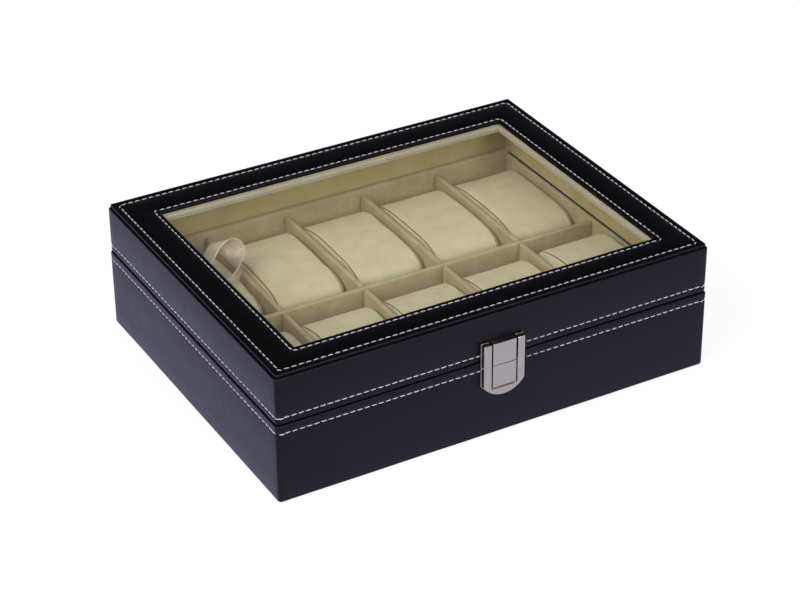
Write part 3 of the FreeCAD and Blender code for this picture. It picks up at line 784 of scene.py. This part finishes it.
# Watch pillows: a stuffed roll blown up as cloth, with a padded cap sewn on at each end in a sunk seam
pillowForm = {"length": 44.5, "half": (37.0, 17.5), "sectionPower": 3.6, "around": 44, "capBulge": 0.5,
              "capRound": 2.0, "capRings": (0.3, 0.6, 0.85), "roundSteps": 4, "shoulder": 1.4,
              "barrelSteps": 6, "start": 0.97, "pressure": 6.0, "frames": 20, "moveMm": 1.1, "kinds": 3,
              "seamMm": 0.6, "lumpMm": 0.25, "lumpSpan": 16, "lumpStep": 7.3, "clothMass": 0.05,
              "clearMm": 0.1, "flatMm": 0.25, "creaseMm": 0.1, "creaseSpan": 9.0, "creaseSink": 0.4,
              "smoothAngle": 180, "columns": 5, "proud": {"front_5": (0.2, -3.0, 4.2)}}


def pillowRows(form):
    # rows from one end to the middle: place along the roll, inset from its skin, share of the section
    bulge, bend = form["capBulge"], form["capRound"]
    rows = [(bulge * share ** 2, bend, share) for share in form["capRings"]]
    for i in range(form["roundSteps"] + 1):
        a = math.pi / 2 * i / form["roundSteps"]
        rows.append((bulge + bend * (1 - math.cos(a)), bend * (1 - math.sin(a)), 1.0))
    seamRow = len(rows) - 2
    rows.append((bulge + bend + form["shoulder"], 0.0, 1.0))
    return rows, seamRow


def rollBlank(form, seed):  # plain capped roll, a little smaller than the finished pillow
    near, seamRow = pillowRows(form)
    length, around, steps = form["length"], form["around"], form["barrelSteps"]
    halfWide, halfHigh = form["half"]
    power = 2 / form["sectionPower"]
    first, last = near[-1][0], length - near[-1][0]
    barrel = [(first + (last - first) * k / steps, 0.0, 1.0) for k in range(1, steps)]
    rows = near + barrel + [(length - x, inset, share) for x, inset, share in near[::-1]]
    bm = bmesh.new()
    # the seam mark sinks these rows and also lays on them the painted shade of the velvet's seam colour
    seamMark = bm.verts.layers.float.new("seam")
    crease = bm.edges.layers.float.new("crease_edge")
    shift = Vector((seed * form["lumpStep"], 0, 0))

    def spot(x, y, z):
        p = Vector((x - length / 2, y, z)) * form["start"]
        return p * mm + p.normalized() * form["lumpMm"] * mm * noise.noise(p / form["lumpSpan"] + shift)

    grid = []
    for x, inset, share in rows:
        row = []
        for k in range(around):
            a = math.tau * k / around
            c, s = (math.copysign(abs(f(a)) ** power, f(a)) for f in (math.cos, math.sin))
            row.append(bm.verts.new(spot(x, c * (halfWide - inset) * share, s * (halfHigh - inset) * share)))
        grid.append(row)
    for a, b in zip(grid, grid[1:]):
        for k in range(around):
            bm.faces.new((a[k], a[k - 1], b[k - 1], b[k]))
    for x, row in ((0.0, grid[0]), (length, grid[-1])):
        pole = bm.verts.new(spot(x, 0, 0))
        for k in range(around):
            bm.faces.new((pole, row[k - 1], row[k]))
    for row in (grid[seamRow], grid[-1 - seamRow]):
        for k in range(around):
            row[k][seamMark] = 1.0
            bm.edges.get((row[k - 1], row[k]))[crease] = 1.0
    return pieceFrom(bm, "pillowBlank", pillowVelvet, form["smoothAngle"])


def plump(form, seed):
    blank = rollBlank(form, seed)
    start = np.array([v.co for v in blank.data.vertices])
    cloth = blank.modifiers.new("cloth", "CLOTH")
    cloth.settings.use_pressure = True
    cloth.settings.uniform_pressure_force = form["pressure"]
    cloth.settings.effector_weights.gravity = 0
    cloth.settings.mass = form["clothMass"]
    cloth.point_cache.frame_end = form["frames"]
    for step in range(1, form["frames"] + 1):
        scene.frame_set(step)
    settle(blank)
    scene.frame_set(1)
    move = np.array([v.co for v in blank.data.vertices]) - start
    far = np.linalg.norm(move, axis=1, keepdims=True)
    print("pillow", seed, "moved up to %.2f mm" % (far.max() / mm))
    move *= np.minimum(1.0, form["moveMm"] * mm / np.maximum(far, weld))
    blank.data.vertices.foreach_set("co", (start + move).astype(np.float32).ravel())
    blank.data.update()
    points, normals = blank.data.vertices, blank.data.vertex_normals
    seam = blank.data.attributes["seam"].data
    sewn = [v.index for v in points if seam[v.index].value > 0.5]
    sunk = {i: points[i].co - normals[i].vector * form["seamMm"] * mm for i in sewn}
    for i, place in sunk.items():
        points[i].co = place
    finer = blank.modifiers.new("finer", "SUBSURF")
    finer.levels = finer.render_levels = 1
    return settle(blank)


def layPillow(form, blank, spot):
    node = "pillow_" + spot
    low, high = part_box(node)
    middle, reach = (low + high) / 2, (high - low) / 2
    bm = bmesh.new()
    bm.from_mesh(blank.data)
    points = np.array([v.co for v in bm.verts])
    centre, half = (points.max(0) + points.min(0)) / 2, (points.max(0) - points.min(0)) / 2
    clear, flat = form["clearMm"] * mm, form["flatMm"] * mm
    for v in bm.verts:
        v.co = Vector([middle[i] + (v.co[i] - centre[i]) / half[i] * (reach[i] - clear) for i in range(3)])
        v.co.z = max(v.co.z, low.z + flat)  # flat where it rests
    bm.normal_update()
    for v in bm.verts:
        crease = noise.noise(v.co * perMm(form["creaseSpan"])) - form["creaseSink"]
        v.co += v.normal * form["creaseMm"] * mm * crease
    if spot in form["proud"]:  # a pillow that isn't pushed right down
        bmesh.ops.translate(bm, vec=Vector(form["proud"][spot]) * mm, verts=bm.verts)
    piece = pieceFrom(bm, spot + "_cushion", pillowVelvet, form["smoothAngle"])
    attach(piece, spot + "_pillow")
    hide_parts(node)


blanks = [plump(pillowForm, seed) for seed in range(pillowForm["kinds"])]
for k, row in enumerate(("rear", "front")):
    for n in range(1, pillowForm["columns"] + 1):
        layPillow(pillowForm, blanks[(n + k) % len(blanks)], "%s_%d" % (row, n))
for blank in blanks:
    bpy.data.objects.remove(blank)
print("pillows stuffed")

# Lid stay: a thin satin ribbon, glued to both left linings and folded inwards while the lid is shut
# each pair: the edge towards the front and the edge towards the back, in mm, from the lid down to the base
stayRibbon = {
    "widthMm": 11.0, "thickMm": 0.35, "cupMm": 0.4, "steps": 8, "across": 8, "smoothAngle": 180,
    "blendFrom": (0, 33.3, 45.0), "blendTo": (0, 44.6, 55.2),
    "edges": [((-120.8, 43.0, 57.0), (-120.8, 54.0, 57.0)), ((-112.0, 42.2, 55.6), (-112.3, 53.2, 55.4)),
              ((-100.5, 41.4, 55.0), (-101.5, 52.3, 54.4)), ((-94.0, 41.5, 56.8), (-95.6, 52.2, 55.4)),
              ((-90.3, 42.3, 60.3), (-92.2, 52.8, 57.8)), ((-87.3, 43.8, 63.2), (-89.6, 53.6, 60.2)),
              ((-83.3, 45.0, 65.0), (-87.2, 53.6, 61.3)), ((-79.1, 46.5, 65.5), (-86.2, 51.5, 60.6)),
              ((-75.2, 46.5, 64.4), (-84.6, 48.5, 59.0)), ((-72.9, 46.0, 61.8), (-83.2, 46.7, 57.2)),
              ((-72.1, 45.0, 59.2), (-81.9, 45.6, 55.0)), ((-73.8, 41.7, 58.3), (-80.0, 46.3, 51.9)),
              ((-75.9, 40.0, 55.3), (-77.7, 46.8, 48.9)), ((-80.2, 38.2, 51.6), (-75.6, 45.4, 46.0)),
              ((-84.8, 36.0, 49.4), (-77.6, 41.0, 44.6)), ((-90.5, 33.0, 48.6), (-82.6, 37.0, 43.8)),
              ((-99.0, 29.0, 46.6), (-93.0, 37.2, 43.8)), ((-109.0, 25.0, 45.4), (-106.0, 35.6, 44.2)),
              ((-120.1, 22.3, 43.3), (-120.1, 33.3, 43.3))]}


def smoothThrough(values, steps):  # curve through every given row of numbers
    rows = np.array(values, float)
    padded = np.vstack([2 * rows[0] - rows[1], rows, 2 * rows[-1] - rows[-2]])
    out = []
    for i in range(1, len(padded) - 2):
        a, b, c, d = padded[i - 1:i + 3]
        for k in range(steps):
            t = k / steps
            square, cube = 2 * a - 5 * b + 4 * c - d, 3 * b - a - 3 * c + d
            out.append(0.5 * (2 * b + (c - a) * t + square * t * t + cube * t ** 3))
    out.append(rows[-1])
    return np.array(out)


def makeRibbon(part):
    line = smoothThrough([a + b for a, b in part["edges"]], part["steps"])
    near, far = ([Vector(p[i:i + 3]) for p in line] for i in (0, 3))
    middle = [(a + b) / 2 for a, b in zip(near, far)]
    count = part["across"]
    bm = bmesh.new()
    weave = bm.loops.layers.uv.new("weave")
    rows, lengths = [], [0.0]
    for i in range(len(line)):
        ahead = middle[min(i + 1, len(line) - 1)] - middle[max(i - 1, 0)]
        up = ahead.cross(far[i] - near[i]).normalized()
        row = []
        for k in range(count + 1):
            cup = up * part["cupMm"] * math.sin(math.pi * k / count)
            row.append(bm.verts.new((near[i].lerp(far[i], k / count) + cup) * mm))
        rows.append(row)
        if i:
            lengths.append(lengths[-1] + (middle[i] - middle[i - 1]).length * mm)
    for i, (a, b) in enumerate(zip(rows, rows[1:])):
        for k in range(count):
            face = bm.faces.new((a[k], a[k + 1], b[k + 1], b[k]))
            spots = [(k, i), (k + 1, i), (k + 1, i + 1), (k, i + 1)]
            for loop, (across, along) in zip(face.loops, spots):
                loop[weave].uv = (part["widthMm"] * mm * across / count, lengths[along])
    piece = pieceFrom(bm, "ribbon_stay", creamSatin, part["smoothAngle"])
    body = piece.modifiers.new("thickness", "SOLIDIFY")
    body.thickness = part["thickMm"] * mm
    body.offset = 0
    settle(piece)
    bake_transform(piece)
    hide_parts("stay_ribbon")
    print("ribbon length %.1f mm" % (lengths[-1] / mm))


makeRibbon(stayRibbon)

# Metalwork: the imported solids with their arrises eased, so that each edge carries a thin light line
easing = {"clasp": 0.17, "hinge": 0.12, "flatAngle": 1.0, "edgeAngle": 35, "sharpAngle": 30, "steps": 2}


def easedCopy(node, body, material, width):
    bm = bmesh.new()
    bm.from_mesh(nodes[node].data)
    bmesh.ops.remove_doubles(bm, verts=bm.verts, dist=weld)
    flat, bent = math.radians(easing["flatAngle"]), math.radians(easing["edgeAngle"])
    bmesh.ops.dissolve_limit(bm, angle_limit=flat, verts=bm.verts, edges=bm.edges)
    sharp = [e for e in bm.edges if len(e.link_faces) == 2 and e.calc_face_angle(0) > bent]
    bmesh.ops.bevel(bm, geom=sharp, offset=width * mm, segments=easing["steps"], profile=0.5, affect="EDGES",
                    clamp_overlap=True)
    piece = pieceFrom(bm, node + "_eased", material, easing["sharpAngle"])
    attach(piece, body)
    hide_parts(node)


for node, body in (("clasp_housing", "base"), ("clasp_tongue", "lid"), ("clasp_button", "button")):
    easedCopy(node, body, claspNickel, easing["clasp"])
for side in ("left", "right"):
    easedCopy("hinge_%s_base_leaf" % side, "base", hingeSteel, easing["hinge"])
    easedCopy("hinge_%s_lid_leaf" % side, "lid", hingeSteel, easing["hinge"])
print("metalwork eased")

# Nodes that stay as packed, each with its finish
finishes = {"base_felt": blackFelt, "clasp_spring": claspNickel, "clasp_rivets": claspNickel,
            "tongue_rivets": claspNickel, "hinge_left_pin": hingeSteel, "hinge_right_pin": hingeSteel,
            "hinge_base_screws": hingeSteel, "hinge_lid_screws": hingeSteel}
for name, node in nodes.items():
    finish = finishes.get(name, fibreBoard if name.endswith("board") else None)
    if finish is None:
        continue
    if not node.material_slots:
        node.data.materials.append(finish)
    for place in node.material_slots:
        place.material = finish
print("packed nodes finished")
